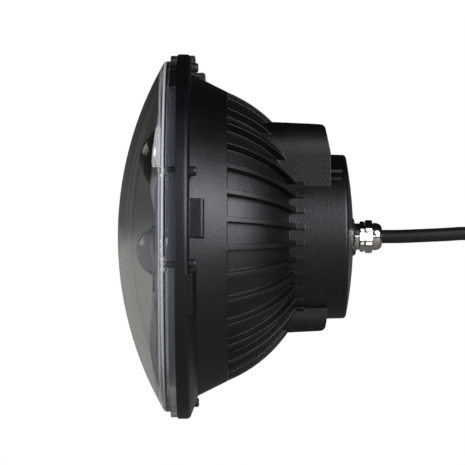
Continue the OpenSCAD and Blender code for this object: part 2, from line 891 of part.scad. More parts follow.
module driver_terminal() {
    color([0.1, 0.35, 0.15])
        translate([driver_front - terminal_h, terminal_at[0], terminal_at[1]])
            cube([terminal_h, terminal_w, terminal_t]);
}

// Plate and posts behind the driver board, held by the two rear screws
module driver_carrier() {
    color([0.68, 0.69, 0.7]) difference() {
        union() {
            bar(carrier_r, carrier_front, carrier_back);
            rear_screw_places() bar(pillar_r, carrier_back - join, pocket_end);
            post_places() bar(post_r, driver_back, carrier_front + join);
        }
        rear_screw_places() bar(rear_screw_d / 2 + thread_gap, carrier_front - join, pocket_end + join);
        post_places() bar(small_screw_d / 2 + thread_gap, driver_back - join, carrier_front);
        bar(carrier_hole_r, carrier_front - join, carrier_back + join);
    }
}

// Two dome-head screws beside the gland that hold the driver's carrier
module rear_screws() {
    color([0.08, 0.08, 0.09])
        rear_screw_places() {
            rotate([0, 90, 0]) rotate_extrude()
                intersection() {
                    translate([0, rear_screw_seat + rear_head_h - rear_cap_r]) circle(r = rear_cap_r);
                    band(0, rear_head_d / 2, rear_screw_seat, rear_screw_seat + rear_head_h);
                }
            bar(rear_screw_d / 2, carrier_back - 1, rear_screw_seat + 0.4);
        }
}

module gland_washer() {
    color([0.05, 0.05, 0.05]) difference() {
        bar(gland_collar_r, gland_seat, gland_seat + gland_washer_t);
        bar(gland_thread_d / 2 + thread_gap, gland_seat - join, gland_seat + gland_washer_t + join);
    }
}

// Nickel-plated body: thread in the rear wall, collar, hexagon and nut thread
module gland_body() {
    color([0.8, 0.79, 0.75]) difference() {
        union() {
            bar(gland_thread_d / 2, pocket_end, gland_seat + gland_washer_t);
            bar(gland_collar_r, gland_seat + gland_washer_t, gland_collar_end);
            hex_bar(gland_af, gland_collar_end, gland_hex_end);
            bar(nut_thread_r, gland_hex_end - join, nut_hex_end - 1);
        }
        bar(gland_bore_r, pocket_end - join, nut_hex_end + join);
    }
}

module gland_seal() {
    color([0.1, 0.1, 0.1]) difference() {
        bar(gland_bore_r - lead_fit, gland_collar_end, nut_hex_end + nut_roof);
        bar(lead_r + lead_fit, gland_collar_end - join, nut_hex_end + nut_roof + join);
    }
}

// Nickel-plated cap nut with a domed end round the lead
module gland_nut() {
    color([0.8, 0.79, 0.75]) difference() {
        union() {
            hex_bar(gland_nut_af, nut_start, nut_hex_end);
            turned() polygon([
                [0, nut_hex_end - join],
                [nut_out, nut_hex_end - join],
                [nut_out, nut_hex_end],
                for (a = [0:15:75]) [
                    nut_out - nut_dome_r * (1 - cos(a)),
                    nut_hex_end + nut_roof + (nut_end - nut_hex_end - nut_roof) * sin(a)
                ],
                [nut_out - nut_dome_r, nut_end],
                [0, nut_end]
            ]);
        }
        bar(nut_thread_r + thread_gap, nut_start - join, nut_hex_end + nut_roof);
        bar(lead_r + lead_fit, nut_start, nut_end + join);
    }
}

// One ring of the lead, square to its run; the route lies in the plane y = 0
function lead_heading(i) =
    let (last = len(lead_route) - 1, d = lead_route[min(i + 1, last)] - lead_route[max(i - 1, 0)])
    d / norm(d);

function lead_ring(i) =
    let (along = lead_heading(i), side = [0, 1, 0], up = cross(along, side))
    [for (k = [0:lead_sides - 1])
        let (a = 360 * k / lead_sides)
        lead_route[i] + lead_r * (cos(a) * side + sin(a) * up)];

module supply_lead() {
    rings = len(lead_route);
    color([0.06, 0.06, 0.06]) polyhedron(
        points = [for (i = [0:rings - 1]) each lead_ring(i)],
        faces = concat(
            [[for (k = [0:lead_sides - 1]) k]],
            [for (i = [0:rings - 2], k = [0:lead_sides - 1])
                let (n = (k + 1) % lead_sides, a = i * lead_sides, b = a + lead_sides)
                [a + k, b + k, b + n, a + n]],
            [[for (k = [lead_sides - 1:-1:0]) (rings - 1) * lead_sides + k]]
        )
    );
}

// Block of the three-blade plug with its neck, hanging at the end of the lead
module plug_housing() {
    color([0.07, 0.07, 0.08]) translate(lead_end) {
        translate([0, 0, -plug_neck_h]) cylinder(h = plug_neck_h, r1 = plug_neck_base_r, r2 = plug_neck_r);
        difference() {
            translate([0, 0, -plug_neck_h - plug_h]) linear_extrude(plug_h) {
                square([plug_t - 2 * plug_corner_r, plug_w], center = true);
                square([plug_t, plug_w - 2 * plug_corner_r], center = true);
                for (x = [-1, 1], y = [-1, 1])
                    translate([x * (plug_t / 2 - plug_corner_r), y * (plug_w / 2 - plug_corner_r)])
                        circle(r = plug_corner_r);
            }
            for (x = [-1, 1], z = plug_groove_z)
                translate([x * plug_t / 2, 0, -plug_neck_h - z])
                    cube([2 * plug_groove_d, plug_w - 12, plug_groove_h], center = true);
        }
    }
}

// Two side blades and one cross blade
module plug_blades() {
    top = lead_end[2] - plug_neck_h - plug_h;
    color([0.8, 0.66, 0.35]) translate([lead_end[0], lead_end[1], top - blade_h]) {
        for (s = [-1, 1])
            translate([-blade_w / 2 - 1, s * blade_pitch / 2 - blade_t / 2, 0])
                cube([blade_w, blade_t, blade_h]);
        translate([plug_t / 2 - 3 - blade_t, -blade_w / 2, 0]) cube([blade_t, blade_w, blade_h]);
    }
}

housing();
front_lens();
lens_seal();
rim_screws();
inner_bezel();
low_beam_lens(0);  // low_beam_lens_left
low_beam_lens(1);  // low_beam_lens_right
low_beam_holder(0);  // low_beam_holder_left
low_beam_holder(1);  // low_beam_holder_right
trim_ring(0);  // trim_ring_left
trim_ring(1);  // trim_ring_right
high_beam_lens(0);  // high_beam_lens_left
high_beam_lens(1);  // high_beam_lens_right
high_beam_holder(0);  // high_beam_holder_left
high_beam_holder(1);  // high_beam_holder_right
day_light_reflector();
light_chips();
light_board();
board_screws();
heat_spreader();
spreader_screws();
board_leads();
driver_board();
driver_board_screws();
driver_inductor();
driver_capacitors();
driver_terminal();
driver_carrier();
rear_screws();
gland_washer();
gland_body();
gland_seal();
gland_nut();
supply_lead();
plug_housing();
plug_blades();
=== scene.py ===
import math

import bmesh
import bpy
from mathutils import Matrix, Vector


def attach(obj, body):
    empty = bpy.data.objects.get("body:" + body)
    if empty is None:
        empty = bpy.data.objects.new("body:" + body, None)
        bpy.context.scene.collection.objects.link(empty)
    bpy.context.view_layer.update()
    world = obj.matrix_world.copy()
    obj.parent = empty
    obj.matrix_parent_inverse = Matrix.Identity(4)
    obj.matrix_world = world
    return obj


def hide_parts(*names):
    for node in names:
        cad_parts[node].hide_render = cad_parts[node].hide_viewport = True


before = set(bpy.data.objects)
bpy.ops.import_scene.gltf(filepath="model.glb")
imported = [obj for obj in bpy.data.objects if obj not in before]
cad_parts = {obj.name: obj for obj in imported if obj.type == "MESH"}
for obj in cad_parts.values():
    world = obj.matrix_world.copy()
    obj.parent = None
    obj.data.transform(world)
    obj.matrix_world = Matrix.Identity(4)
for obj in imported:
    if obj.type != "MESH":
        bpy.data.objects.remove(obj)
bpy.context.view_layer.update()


# Camera: the lamp is seen square from its side, from 1.35 m away, with its middle a little left of the picture's.
# The picture spans 227.5 mm at the depth of the lamp's axis.
camera_distance = 1.35
picture_width = 0.2275
picture_middle = (0.0242, 0.002)
camera_data = bpy.data.cameras.new("side view camera")
camera_data.sensor_width = 36
camera_data.lens = camera_data.sensor_width * camera_distance / picture_width
camera_data.clip_start = 0.05
camera = bpy.data.objects.new("side view camera", camera_data)
camera.location = (picture_middle[0], -camera_distance, picture_middle[1])
camera.rotation_euler = (math.radians(90), 0, 0)
bpy.context.scene.collection.objects.link(camera)
bpy.context.scene.camera = camera
bpy.context.scene.view_settings.view_transform = "Standard"


# Supply lead: black sheathed two-core cable, 6.6 mm thick. It leaves the gland level, rises a little, then hangs
# down under its own weight to the plug. The sheath is smooth with a faint drawn grain along the run.
lead_thick = 0.0066
lead_route = [
    (0.080, 0, 0), (0.088, 0, 0), (0.098, 0, 0), (0.107, 0, 0.0001), (0.117, 0, 0.0005), (0.128, 0, 0.001),
    (0.139, 0, 0.0015), (0.150, 0, 0.0004), (0.160, 0, -0.003), (0.169, 0, -0.009), (0.176, 0, -0.0175),
    (0.1805, 0, -0.028), (0.182, 0, -0.040), (0.182, 0, -0.054), (0.182, 0, -0.070), (0.182, 0, -0.086),
    (0.182, 0, -0.102), (0.182, 0, -0.118), (0.182, 0, -0.132),
]
lead_curve = bpy.data.curves.new("supply lead", "CURVE")
lead_curve.dimensions = "3D"
lead_curve.bevel_depth = lead_thick / 2
lead_curve.bevel_resolution = 6
lead_curve.resolution_u = 8
lead_spline = lead_curve.splines.new("BEZIER")
lead_spline.bezier_points.add(len(lead_route) - 1)
for knot, place in zip(lead_spline.bezier_points, lead_route):
    knot.co = place
    knot.handle_left_type = "AUTO"
    knot.handle_right_type = "AUTO"
lead = bpy.data.objects.new("supply_lead_sheath", lead_curve)
bpy.context.scene.collection.objects.link(lead)


def wire(owner, origin, target):
    """Join an output socket to an input socket of a material, a world or a node group."""
    tree = owner.node_tree if hasattr(owner, "node_tree") else owner
    tree.links.new(origin, target)


def make_grain_group():
    """Node group: fine grain and slow clouds over a surface, from coordinates in metres."""
    group = bpy.data.node_groups.new("grain and clouds", "ShaderNodeTree")
    group.interface.new_socket("Vector", in_out="INPUT", socket_type="NodeSocketVector")
    group.interface.new_socket("Grain scale", in_out="INPUT", socket_type="NodeSocketFloat")
    group.interface.new_socket("Cloud scale", in_out="INPUT", socket_type="NodeSocketFloat")
    group.interface.new_socket("Grain", in_out="OUTPUT", socket_type="NodeSocketFloat")
    group.interface.new_socket("Clouds", in_out="OUTPUT", socket_type="NodeSocketFloat")
    came_in = group.nodes.new("NodeGroupInput")
    goes_out = group.nodes.new("NodeGroupOutput")
    for socket_in, socket_out, detail in (("Grain scale", "Grain", 2), ("Cloud scale", "Clouds", 4)):
        noise = group.nodes.new("ShaderNodeTexNoise")
        noise.inputs["Detail"].default_value = detail
        wire(group, came_in.outputs["Vector"], noise.inputs["Vector"])
        wire(group, came_in.outputs[socket_in], noise.inputs["Scale"])
        wire(group, noise.outputs["Fac"], goes_out.inputs[socket_out])
    return group


grain_group = make_grain_group()


def surfaced(name, dark, light, dull, gloss, grain=900, clouds=60, depth=0.00002, soften=0, stretch=(1, 1, 1),
             metal=0):
    """Material whose colour and roughness drift with the clouds, over a fine grain in relief."""
    material = bpy.data.materials.new(name)
    material.use_nodes = True
    nodes = material.node_tree.nodes
    shader = nodes["Principled BSDF"]
    shader.inputs["Metallic"].default_value = metal
    place = nodes.new("ShaderNodeTexCoord")
    along = nodes.new("ShaderNodeMapping")
    along.inputs["Scale"].default_value = stretch
    pattern = nodes.new("ShaderNodeGroup")
    pattern.node_tree = grain_group
    pattern.inputs["Grain scale"].default_value = grain
    pattern.inputs["Cloud scale"].default_value = clouds
    shade = nodes.new("ShaderNodeMix")
    shade.data_type = "RGBA"
    shade.inputs["A"].default_value = (*dark, 1)
    shade.inputs["B"].default_value = (*light, 1)
    sheen = nodes.new("ShaderNodeMapRange")
    sheen.inputs["From Min"].default_value = 0.3
    sheen.inputs["From Max"].default_value = 0.7
    sheen.inputs["To Min"].default_value = gloss
    sheen.inputs["To Max"].default_value = dull
    relief = nodes.new("ShaderNodeBump")
    relief.inputs["Strength"].default_value = 1
    relief.inputs["Distance"].default_value = depth
    wire(material, place.outputs["Object"], along.inputs["Vector"])
    wire(material, along.outputs["Vector"], pattern.inputs["Vector"])
    wire(material, pattern.outputs["Clouds"], shade.inputs["Factor"])
    wire(material, shade.outputs["Result"], shader.inputs["Base Color"])
    wire(material, pattern.outputs["Clouds"], sheen.inputs["Value"])
    wire(material, sheen.outputs["Result"], shader.inputs["Roughness"])
    wire(material, pattern.outputs["Grain"], relief.inputs["Height"])
    wire(material, relief.outputs["Normal"], shader.inputs["Normal"])
    if soften:
        edge = nodes.new("ShaderNodeBevel")
        edge.samples = 6
        edge.inputs["Radius"].default_value = soften
        wire(material, edge.outputs["Normal"], relief.inputs["Normal"])
    return material


lead_material = surfaced("black cable sheath", (0.006, 0.006, 0.007), (0.012, 0.012, 0.013), 0.3, 0.22,
                         grain=1400, clouds=70, depth=0.00001, stretch=(0.15, 1, 1))
lead_curve.materials.append(lead_material)
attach(lead, "root")
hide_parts("supply_lead")


# Light: a tall soft box right of the camera, from just below the lamp to well above it, a weaker one on the lens
# side, and a small one for the glints. The world is dim, but the camera sees it as plain white.
def add_softbox(name, size, place, power, tint):
    """Soft rectangular lamp facing the middle of the object."""
    data = bpy.data.lights.new(name, "AREA")
    data.shape = "RECTANGLE"
    data.size, data.size_y = size
    data.energy = power
    data.color = tint
    lamp = bpy.data.objects.new(name, data)
    lamp.location = place
    lamp.rotation_euler = (Vector((0.02, 0, 0)) - Vector(place)).to_track_quat("-Z", "Y").to_euler()
    bpy.context.scene.collection.objects.link(lamp)


add_softbox("tall soft box", (1.35, 1.4), (1.05, -1.15, 0.68), 38, (0.9, 0.94, 1))
add_softbox("lens soft box", (0.5, 1.8), (-1.05, -0.95, 0.1), 14, (0.93, 0.96, 1))
add_softbox("small box beside the camera", (0.18, 0.24), (0.19, -1.5, 0.05), 0.4, (1, 1, 1))

world = bpy.data.worlds.new("studio")
bpy.context.scene.world = world
world.use_nodes = True
seen = world.node_tree.nodes.new("ShaderNodeLightPath")
level = world.node_tree.nodes.new("ShaderNodeMapRange")
level.inputs["To Min"].default_value = 0.02
level.inputs["To Max"].default_value = 1
backing = world.node_tree.nodes["Background"]
backing.inputs["Color"].default_value = (1, 1, 1, 1)
wire(world, seen.outputs["Is Camera Ray"], level.inputs["Value"])
wire(world, level.outputs["Result"], backing.inputs["Strength"])


# Room: a table well below the lamp, pale to the camera but a darker grey to every other ray, so that the light and
# reflections it throws up on the lamp carry painted shade; black cards above and at the sides that keep the top dark;
# and a glowing sweep behind, an emitting grey card pale at its foot and dark higher up, whose painted reflection only
# the glass and the bright parts see.
def add_panel(name, size, place, aim, material):
    """Flat panel facing a point."""
    panel = bmesh.new()
    bmesh.ops.create_grid(panel, x_segments=1, y_segments=1, size=0.5)
    bmesh.ops.scale(panel, vec=(size[0], size[1], 1), verts=panel.verts)
    turn = (Vector(aim) - Vector(place)).to_track_quat("Z", "Y").to_matrix().to_4x4()
    bmesh.ops.transform(panel, matrix=Matrix.Translation(place) @ turn, verts=panel.verts)
    mesh = bpy.data.meshes.new(name)
    panel.to_mesh(mesh)
    panel.free()
    mesh.materials.append(material)
    thing = bpy.data.objects.new(name, mesh)
    bpy.context.scene.collection.objects.link(thing)
    return thing


# The table is pale only to camera rays. Every other ray meets a darker grey, which is painted shade in what the table
# throws back on to the lamp.
table_shaded_off_camera_material = surfaced("table pale to camera, dark to reflections", (0.3, 0.28, 0.25), (0.33, 0.31, 0.28), 0.9, 0.8, grain=60, clouds=3, depth=0)
table_nodes = table_shaded_off_camera_material.node_tree.nodes
pale = table_nodes.new("ShaderNodeBsdfDiffuse")
pale.inputs["Color"].default_value = (0.8, 0.8, 0.79, 1)
table_seen = table_nodes.new("ShaderNodeLightPath")
table_choice = table_nodes.new("ShaderNodeMixShader")
wire(table_shaded_off_camera_material, table_seen.outputs["Is Camera Ray"], table_choice.inputs["Fac"])
wire(table_shaded_off_camera_material, table_nodes["Principled BSDF"].outputs["BSDF"], table_choice.inputs[1])
wire(table_shaded_off_camera_material, pale.outputs["BSDF"], table_choice.inputs[2])
wire(table_shaded_off_camera_material, table_choice.outputs["Shader"], table_nodes["Material Output"].inputs["Surface"])
add_panel("table", (3.4, 3.0), (0, 0.1, -0.32), (0, 0.1, 0), table_shaded_off_camera_material)

card_material = surfaced("black card", (0.004, 0.004, 0.004), (0.006, 0.006, 0.006), 1, 0.95, depth=0)
for card_name, card_size, card_place, card_aim in (
    ("card above", (3.4, 3), (0, 0.9, 0.75), (0, 0.9, 0)),
    ("card left", (2.4, 1.2), (-1.75, 0.4, 0.3), (0, 0.4, 0.3)),
    ("card right", (2.4, 1.2), (1.75, 0.6, 0.3), (0, 0.6, 0.3)),
):
    card = add_panel(card_name, card_size, card_place, card_aim, card_material)
    card.visible_camera = False

# The sweep is an emitting card, not lit by the lamps. Its glow and its pale-to-dark gradient are a painted reflection,
# seen only in the glass and the bright parts.
sweep_foot, sweep_top = -0.32, 0.68
glowing_sweep_material = bpy.data.materials.new("glowing grey sweep")
glowing_sweep_material.use_nodes = True
sweep_nodes = glowing_sweep_material.node_tree.nodes
sweep_nodes.remove(sweep_nodes["Principled BSDF"])
sweep_place = sweep_nodes.new("ShaderNodeTexCoord")
sweep_parts = sweep_nodes.new("ShaderNodeSeparateXYZ")
sweep_height = sweep_nodes.new("ShaderNodeMapRange")
sweep_height.inputs["From Min"].default_value = sweep_foot
sweep_height.inputs["From Max"].default_value = sweep_top
sweep_ramp = sweep_nodes.new("ShaderNodeValToRGB")
sweep_ramp.color_ramp.elements[0].position = 0.29
sweep_ramp.color_ramp.elements[0].color = (0.29, 0.285, 0.27, 1)
sweep_ramp.color_ramp.elements[1].position = 1.0
sweep_ramp.color_ramp.elements[1].color = (0.005, 0.005, 0.005, 1)
for stop, tone in ((0.34, 0.09), (0.45, 0.055), (0.6, 0.03)):
    sweep_ramp.color_ramp.elements.new(stop).color = (tone, tone * 1.01, tone, 1)
sweep_glow = sweep_nodes.new("ShaderNodeEmission")
wire(glowing_sweep_material, sweep_place.outputs["Object"], sweep_parts.inputs["Vector"])
wire(glowing_sweep_material, sweep_parts.outputs["Z"], sweep_height.inputs["Value"])
wire(glowing_sweep_material, sweep_height.outputs["Result"], sweep_ramp.inputs["Fac"])
wire(glowing_sweep_material, sweep_ramp.outputs["Color"], sweep_glow.inputs["Color"])
wire(glowing_sweep_material, sweep_glow.outputs["Emission"], sweep_nodes["Material Output"].inputs["Surface"])
sweep = add_panel("glowing grey sweep", (3.4, 1.05), (0, 1.0, 0.2), (0, 0, 0.2), glowing_sweep_material)

# Glowing card at the left, beyond the lamp, that paints a reflection into the bright trims: it glows on rays that came
# in through the lens and were mirrored there, and is dim to all others.
card_dim, card_lit = 0.1, 2.8
inner_glowing_card_material = bpy.data.materials.new("glowing card for the trims")
inner_glowing_card_material.use_nodes = True
inner_card_nodes = inner_glowing_card_material.node_tree.nodes
inner_card_nodes.remove(inner_card_nodes["Principled BSDF"])
inner_card_path = inner_card_nodes.new("ShaderNodeLightPath")
inner_card_through = inner_card_nodes.new("ShaderNodeMapRange")
inner_card_through.inputs["From Min"].default_value = 1
inner_card_through.inputs["From Max"].default_value = 2
inner_card_both = inner_card_nodes.new("ShaderNodeMath")
inner_card_both.operation = "MULTIPLY"
inner_card_level = inner_card_nodes.new("ShaderNodeMapRange")
inner_card_level.inputs["To Min"].default_value = card_dim
inner_card_level.inputs["To Max"].default_value = card_lit
inner_card_glow = inner_card_nodes.new("ShaderNodeEmission")
wire(inner_glowing_card_material, inner_card_path.outputs["Transmission Depth"], inner_card_through.inputs["Value"])
wire(inner_glowing_card_material, inner_card_through.outputs["Result"], inner_card_both.inputs[0])
wire(inner_glowing_card_material, inner_card_path.outputs["Glossy Depth"], inner_card_both.inputs[1])
wire(inner_glowing_card_material, inner_card_both.outputs["Value"], inner_card_level.inputs["Value"])
wire(inner_glowing_card_material, inner_card_level.outputs["Result"], inner_card_glow.inputs["Strength"])
wire(inner_glowing_card_material, inner_card_glow.outputs["Emission"], inner_card_nodes["Material Output"].inputs["Surface"])
inner_card = add_panel("glowing card for the trims", (1.1, 0.34), (-1.15, 0.8, 0.48), (0, 0, 0), inner_glowing_card_material)
for backdrop in (sweep, inner_card):
    backdrop.visible_camera = False
    backdrop.visible_diffuse = False
    backdrop.visible_shadow = False


# Housing: one aluminium die casting, shot-blasted and coated with a fine-textured black powder. The coat softens
# every edge a little, so the fins' edges catch the light.
def dress(material, *names):
    """Give pieces of the model, as they are, a material."""
    for name in names:
        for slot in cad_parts[name].material_slots:
            slot.material = material


housing_material = surfaced("black powder coat", (0.001, 0.001, 0.0012), (0.002, 0.002, 0.0024), 0.42, 0.35,
                            grain=1700, clouds=90, depth=0.00012, soften=0.0006)
housing_material.node_tree.nodes["Principled BSDF"].inputs["IOR"].default_value = 1.56
dress(housing_material, "housing")


# Rim screws: six black-plated steel screws with a pan head and a hexagon socket. They are put in from behind the
# rim, one on either side of each lug, and pull the lens on to its seal.
def turn_body(mesh, profile, middle=(0, 0), segments=48, closed=False):
    """Spin a body round an axis along X. Each station is (x, radius, across flats or 0) in millimetres."""
    centre = Vector((0, *middle)) / 1000
    before = set(mesh.verts)
    line = [mesh.verts.new(centre + Vector((x, 0, radius)) / 1000) for x, radius, flats in profile]
    runs = [mesh.edges.new(pair) for pair in zip(line, line[1:])]
    if closed:
        runs.append(mesh.edges.new((line[-1], line[0])))
    bmesh.ops.spin(mesh, geom=line + runs, cent=centre, axis=(1, 0, 0), angle=2 * math.pi, steps=segments,
                   use_merge=True)
    corners = set(mesh.verts) - before
    for x, radius, flats in profile:
        for corner in corners:
            arm = (corner.co - centre) * 1000
            around = math.hypot(arm.y, arm.z)
            if flats and abs(arm.x - x) < 0.01 and abs(around - radius) < 0.01:
                reach = flats / 2 / math.cos(math.radians(math.degrees(math.atan2(arm.y, arm.z)) % 60 - 30))
                share = min(1, reach / radius)
                corner.co.y = centre.y + (corner.co.y - centre.y) * share
                corner.co.z = centre.z + (corner.co.z - centre.z) * share
    if not closed:
        ends = [edge for edge in mesh.edges if edge.is_boundary and edge.verts[0] in corners]
        bmesh.ops.holes_fill(mesh, edges=ends, sides=segments)


def finish_piece(mesh, name, material, node, sharp=35):
    """Make an object of a finished mesh, with crisp edges above the given angle, in place of a CAD node."""
    bmesh.ops.recalc_face_normals(mesh, faces=mesh.faces)
    for face in mesh.faces:
        face.smooth = True
    for edge in mesh.edges:
        edge.smooth = len(edge.link_faces) == 2 and edge.calc_face_angle() < math.radians(sharp)
    data = bpy.data.meshes.new(name)
    mesh.to_mesh(data)
    mesh.free()
    data.materials.append(material)
    thing = bpy.data.objects.new(name, data)
    bpy.context.scene.collection.objects.link(thing)
    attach(thing, "root")
    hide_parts(node)


def on_circle(angle, reach):
    """Y and Z of a point at an angle from the near side upwards."""
    return -reach * math.cos(math.radians(angle)), reach * math.sin(math.radians(angle))


screw_material = surfaced("black plated steel", (0.012, 0.012, 0.013), (0.02, 0.02, 0.022), 0.4, 0.28,
                          grain=2500, clouds=300, depth=0.00001)
screw_circle = 82.8
screw_from_lug = 15
rim_screws = bmesh.new()
for lug_angle in (6.4, 96.4, 246.4):
    for side in (-screw_from_lug, screw_from_lug):
        turn_body(rim_screws, [
            (-6.2, 1.1, 0), (-5.8, 1.5, 0), (4.2, 1.5, 0), (4.2, 2.3, 0), (4.7, 2.3, 0), (6.7, 2.3, 0),
            (7.1, 2.23, 0), (7.4, 2.05, 0), (7.6, 1.8, 0), (7.7, 1.45, 0), (7.7, 1.25, 0),
            (7.55, 1.16, 2), (6.1, 1.16, 2), (5.8, 0.3, 0),
        ], middle=on_circle(lug_angle + side, screw_circle), segments=36)
finish_piece(rim_screws, "rim_screws_turned", screw_material, "rim_screws")


# Rear screws: two black-plated steel screws with a domed head and a hexagon socket. They go in beside the gland and
# hold the driver's carrier against the rear wall.
rear_circle = 10
rear_screws = bmesh.new()
for rear_angle in (-37, 143):
    turn_body(rear_screws, [
        (67.4, 1.1, 0), (67.8, 1.5, 0), (82.7, 1.5, 0), (82.7, 3.25, 0), (83.1, 3.25, 0), (83.45, 3.1, 0),
        (83.8, 2.75, 0), (84.05, 2.3, 0), (84.2, 1.8, 0), (84.25, 1.4, 0), (84.2, 1.3, 2.2), (83.3, 1.3, 2.2),
        (83.1, 0.3, 0),
    ], middle=on_circle(rear_angle, rear_circle))
finish_piece(rear_screws, "rear_screws_turned", screw_material, "rear_screws")


# Front lens: clear polycarbonate, moulded in one shot with its skirt and seating ring, then hard-coated. The ring's
# front corner is left frosted by the mould, and the ring sits on the seal in the rim.
def clear(name, colour, refraction):
    """Clear material that lets the lamps through."""
    material = surfaced(name, colour, colour, 0, 0, grain=300, clouds=40, depth=0)
    nodes = material.node_tree.nodes
    shader = nodes["Principled BSDF"]
    shader.inputs["Transmission Weight"].default_value = 1
    shader.inputs["IOR"].default_value = refraction
    path = nodes.new("ShaderNodeLightPath")
    see_through = nodes.new("ShaderNodeBsdfTransparent")
    see_through.inputs["Color"].default_value = (0.85, 0.86, 0.87, 1)
    choice = nodes.new("ShaderNodeMixShader")
    wire(material, path.outputs["Is Shadow Ray"], choice.inputs["Fac"])
    wire(material, shader.outputs["BSDF"], choice.inputs[1])
    wire(material, see_through.outputs["BSDF"], choice.inputs[2])
    wire(material, choice.outputs["Shader"], nodes["Material Output"].inputs["Surface"])
    return material


lens_material = clear("clear polycarbonate", (0.94, 0.955, 0.95), 1.585)
frost_starts = (-0.0089, -0.0084)
frost_ends = (-0.0074, -0.0082)
frost_share = 0.75
lens_nodes = lens_material.node_tree.nodes
lens_place = lens_nodes.new("ShaderNodeTexCoord")
lens_parts = lens_nodes.new("ShaderNodeSeparateXYZ")
lens_start = lens_nodes.new("ShaderNodeMapRange")
lens_start.inputs["From Min"].default_value, lens_start.inputs["From Max"].default_value = frost_starts
lens_end = lens_nodes.new("ShaderNodeMapRange")
lens_end.inputs["From Min"].default_value, lens_end.inputs["From Max"].default_value = frost_ends
lens_band = lens_nodes.new("ShaderNodeMath")
lens_band.operation = "MULTIPLY"
lens_share = lens_nodes.new("ShaderNodeMath")
lens_share.operation = "MULTIPLY"
lens_share.inputs[1].default_value = frost_share
lens_frost = lens_nodes.new("ShaderNodeBsdfDiffuse")
lens_frost.inputs["Color"].default_value = (0.85, 0.86, 0.88, 1)
lens_edge = lens_nodes.new("ShaderNodeMixShader")
wire(lens_material, lens_place.outputs["Object"], lens_parts.inputs["Vector"])
wire(lens_material, lens_parts.outputs["X"], lens_start.inputs["Value"])
wire(lens_material, lens_parts.outputs["X"], lens_end.inputs["Value"])
wire(lens_material, lens_start.outputs["Result"], lens_band.inputs[0])
wire(lens_material, lens_end.outputs["Result"], lens_band.inputs[1])
wire(lens_material, lens_band.outputs["Value"], lens_share.inputs[0])
wire(lens_material, lens_share.outputs["Value"], lens_edge.inputs["Fac"])
wire(lens_material, lens_nodes["Material Output"].inputs["Surface"].links[0].from_socket, lens_edge.inputs[1])
wire(lens_material, lens_frost.outputs["BSDF"], lens_edge.inputs[2])
wire(lens_material, lens_edge.outputs["Shader"], lens_nodes["Material Output"].inputs["Surface"])
lens = bmesh.new()
lens.from_mesh(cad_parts["front_lens"].data)
bmesh.ops.transform(lens, matrix=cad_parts["front_lens"].matrix_world, verts=lens.verts)
bmesh.ops.remove_doubles(lens, verts=lens.verts, dist=0.000001)
lens_tip = min(corner.co.x for corner in lens.verts)
plain_skirt, skirt_front = -0.0064, -0.0076
plain_ring, ring_front = -0.0051, -0.0056
ring_back = -0.0045
ring_corner = 1.5
for corner in lens.verts:
    if corner.co.x < plain_skirt + 0.00005:
        corner.co.x = skirt_front + (corner.co.x - plain_skirt) * (lens_tip - skirt_front) / (lens_tip - plain_skirt)
    elif corner.co.x < ring_back:
        corner.co.x = ring_front + (corner.co.x - plain_ring) * ring_corner
finish_piece(lens, "lens_moulding", lens_material, "front_lens", sharp=25)


# Rubber: the lens seal, a moulded cord in the rim's groove, and the gland's washer and its seal round the lead. All
# are black nitrile, held by what clamps them.
rubber_material = surfaced("black rubber", (0.01, 0.01, 0.01), (0.018, 0.018, 0.018), 0.75, 0.6, grain=1500, clouds=200)
dress(rubber_material, "lens_seal", "gland_washer", "gland_seal")


# Inner bezel: injection-moulded cover round the lamp units, satin grey with a faint violet cast. It drops into the
# housing's mouth with the lamp units in its openings, and its face stands well back behind the dome.
set_depth = 0.0023
set_from = -0.006
bezel_face = -0.0102


def set_back(node, name, material, stretch=1):
    """Copy of a piece whose front is set back, with what stands proud of the bezel's face drawn out again."""
    mesh = bmesh.new()
    mesh.from_mesh(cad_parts[node].data)
    bmesh.ops.transform(mesh, matrix=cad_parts[node].matrix_world, verts=mesh.verts)
    bmesh.ops.remove_doubles(mesh, verts=mesh.verts, dist=0.000001)
    for corner in mesh.verts:
        if corner.co.x < set_from:
            corner.co.x += set_depth
        if corner.co.x < bezel_face and stretch != 1:
            corner.co.x = bezel_face + (corner.co.x - bezel_face) * stretch
    finish_piece(mesh, name, material, node, sharp=30)


bezel_material = surfaced("satin grey moulding", (0.15, 0.15, 0.185), (0.19, 0.19, 0.235), 0.38, 0.3,
                          grain=1200, clouds=60, depth=0.00001, soften=0.0005)
set_back("inner_bezel", "bezel_cover", bezel_material)


# Lamp units: two low-beam lenses of smoked pressed glass and two clear high-beam ones, in black moulded holders. The
# bright trim rings and the day-light cup are moulded, vacuum-plated and clipped into the bezel.
glass_material = clear("pressed glass", (0.96, 0.98, 0.97), 1.52)
dark_glass_material = clear("smoked glass", (0.03, 0.02, 0.014), 1.52)
for side in ("left", "right"):
    set_back("low_beam_lens_" + side, "low_lens_" + side, dark_glass_material, 1.26)
    set_back("high_beam_lens_" + side, "high_lens_" + side, glass_material, 1.23)
holder_material = surfaced("matt black moulding", (0.008, 0.008, 0.009), (0.012, 0.012, 0.013), 0.6, 0.5,
                           grain=1500, clouds=100)
bright_material = surfaced("vacuum-plated bright trim", (0.93, 0.94, 0.95), (0.97, 0.97, 0.98), 0.22, 0.05,
                           grain=600, clouds=80, depth=0.000002, metal=1)
for side in ("left", "right"):
    set_back("low_beam_holder_" + side, "low_holder_" + side, holder_material)
    set_back("high_beam_holder_" + side, "high_holder_" + side, holder_material)
    set_back("trim_ring_" + side, "bright_ring_" + side, bright_material, 1.58)
set_back("day_light_reflector", "day_light_cup", bright_material, 1.41)


